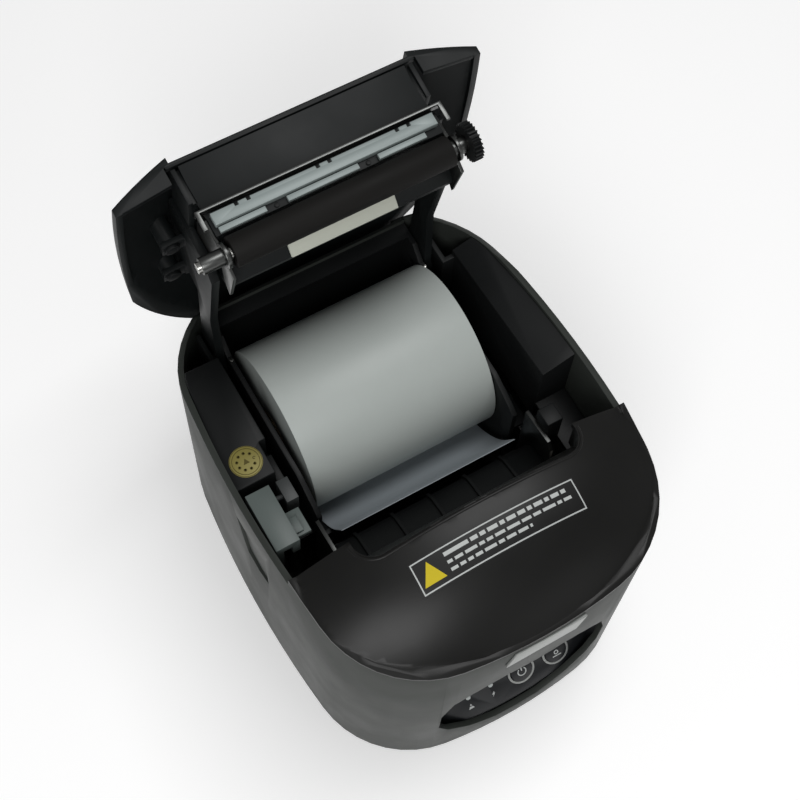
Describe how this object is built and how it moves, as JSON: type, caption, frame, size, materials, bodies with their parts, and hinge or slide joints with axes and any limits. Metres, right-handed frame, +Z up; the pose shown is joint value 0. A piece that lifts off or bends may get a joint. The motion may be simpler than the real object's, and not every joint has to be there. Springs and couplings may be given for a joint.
{
  "type": "thermal receipt printer",
  "caption": "Desktop thermal receipt printer with rounded body, hinged lid standing open, paper roll in its trough, lift-off front cover, tilted button panel and rear sockets.",
  "frame": {"origin": "under the middle of the body, on the plane that the feet stand on", "axes": "+X to the right seen from the front, +Y to the back, +Z up"},
  "size_m": [0.1394, 0.1918, 0.1911],
  "materials": {
    "dark_plastic": "matte",
    "rubber": "matte",
    "steel": "satin",
    "case_plastic": "satin",
    "black_plastic": "satin",
    "aluminium": "satin",
    "ceramic": "glossy",
    "brass": "polished",
    "ivory_plastic": "satin",
    "board": "satin",
    "gloss_black": "glossy",
    "silver_trim": "satin",
    "clear_plastic": "glossy",
    "gold_foil": "satin",
    "grey_plastic": "satin",
    "lever_grey": "satin",
    "cover_plastic": "semi-gloss",
    "label_film": "satin",
    "lid_plastic": "satin",
    "blade_grey": "satin",
    "felt": "matte",
    "card": "matte",
    "paper": "matte"
  },
  "bodies": {
    "base": {"base_plate": "dark_plastic", "rubber_feet": "rubber", "base_screws": "steel", "lower_shell": "case_plastic", "paper_bucket": "black_plastic", "left_ledge": "black_plastic", "right_ledge": "black_plastic", "hinge_pins": "steel", "hinge_pin_caps": "steel", "mech_sides": "steel", "mech_base": "steel", "heatsink": "aluminium", "print_head": "ceramic", "paper_guide": "black_plastic", "feed_motor": "steel", "idler_axle": "steel", "cutter_frame": "steel", "cutter_motor": "steel", "main_board": "board", "power_inlet": "black_plastic", "usb_port": "steel", "lan_port": "steel", "drawer_port": "black_plastic", "front_panel": "gloss_black", "panel_board": "board", "button_rings": "silver_trim", "led_pipes": "clear_plastic", "badge": "silver_trim", "gold_sticker": "gold_foil", "lever_post": "grey_plastic", "paper_end_sensor": "black_plastic", "right_block": "black_plastic", "paper_tail": "paper"},
    "lid": {"lid_shell": "lid_plastic", "lid_inner": "lid_plastic", "lid_screws": "steel", "tear_plate": "steel", "fixed_blade": "blade_grey", "guide_strips": "blade_grey", "blade_screws": "steel", "hook_brackets": "steel", "wiper_pad": "felt", "platen_sleeves": "steel"},
    "platen": {"platen_shaft": "steel", "platen_rubber": "rubber", "platen_gear": "black_plastic"},
    "cover": {"front_cover": "cover_plastic", "cover_label": "label_film"},
    "latch": {"latch_lever": "lever_grey"},
    "feed_key": {"feed_button": "gloss_black"},
    "power_key": {"power_button": "gloss_black"},
    "idler": {"idler_gear": "ivory_plastic"},
    "motor_gear": {"motor_pinion": "brass"},
    "cutter_wheel": {"cutter_knob": "ivory_plastic"},
    "blade": {"moving_blade": "steel"},
    "roll": {"paper_roll": "paper", "roll_core": "card"}
  },
  "joints": [
    {"name": "lid_hinge", "type": "hinge", "parent": "base", "child": "lid", "pos_m": [0, 0.0695, 0.084], "axis": [1, 0, 0], "range_deg": [0, 80]},
    {"name": "platen_spin", "type": "hinge", "parent": "lid", "child": "platen", "pos_m": [0, 0.052, 0.18327], "axis": [1, 0, 0], "continuous": true},
    {"name": "cover_lift", "type": "slide", "parent": "base", "child": "cover", "axis": [0, 0, 1], "range_m": [0, 0.04]},
    {"name": "latch_turn", "type": "hinge", "parent": "base", "child": "latch", "pos_m": [-0.0613, 0.001, 0.098], "axis": [-1, 0, 0], "range_deg": [0, 10], "stiffness_Nm_per_rad": 0.05, "springref_deg": -11.46},
    {"name": "feed_press", "type": "slide", "parent": "base", "child": "feed_key", "axis": [0, 0.788, -0.6157], "range_m": [0, 0.0008], "stiffness_N_per_m": 300, "springref_m": -0.0007},
    {"name": "power_press", "type": "slide", "parent": "base", "child": "power_key", "axis": [0, 0.788, -0.6157], "range_m": [0, 0.0008], "stiffness_N_per_m": 300, "springref_m": -0.0007},
    {"name": "idler_spin", "type": "hinge", "parent": "base", "child": "idler", "pos_m": [0.0493, -0.0397, 0.06945], "axis": [1, 0, 0], "continuous": true},
    {"name": "motor_spin", "type": "hinge", "parent": "base", "child": "motor_gear", "pos_m": [0.0493, -0.05107, 0.06531], "axis": [1, 0, 0], "continuous": true},
    {"name": "cutter_wheel_turn", "type": "hinge", "parent": "base", "child": "cutter_wheel", "pos_m": [0.0491, -0.065, 0.09], "axis": [1, 0, 0], "range_deg": [0, 180]},
    {"name": "blade_slide", "type": "slide", "parent": "base", "child": "blade", "axis": [0, 1, 0], "range_m": [0, 0.007]},
    {"name": "roll_spin", "type": "hinge", "parent": "base", "child": "roll", "pos_m": [0.0013, 0.0368, 0.07], "axis": [1, 0, 0], "continuous": true}
  ],
  "couplings": [
    {"joint": "motor_spin", "follows": "idler_spin", "ratio": -3},
    {"joint": "cutter_wheel_turn", "follows": "blade_slide", "rad_per_m": 448.8}
  ]
}
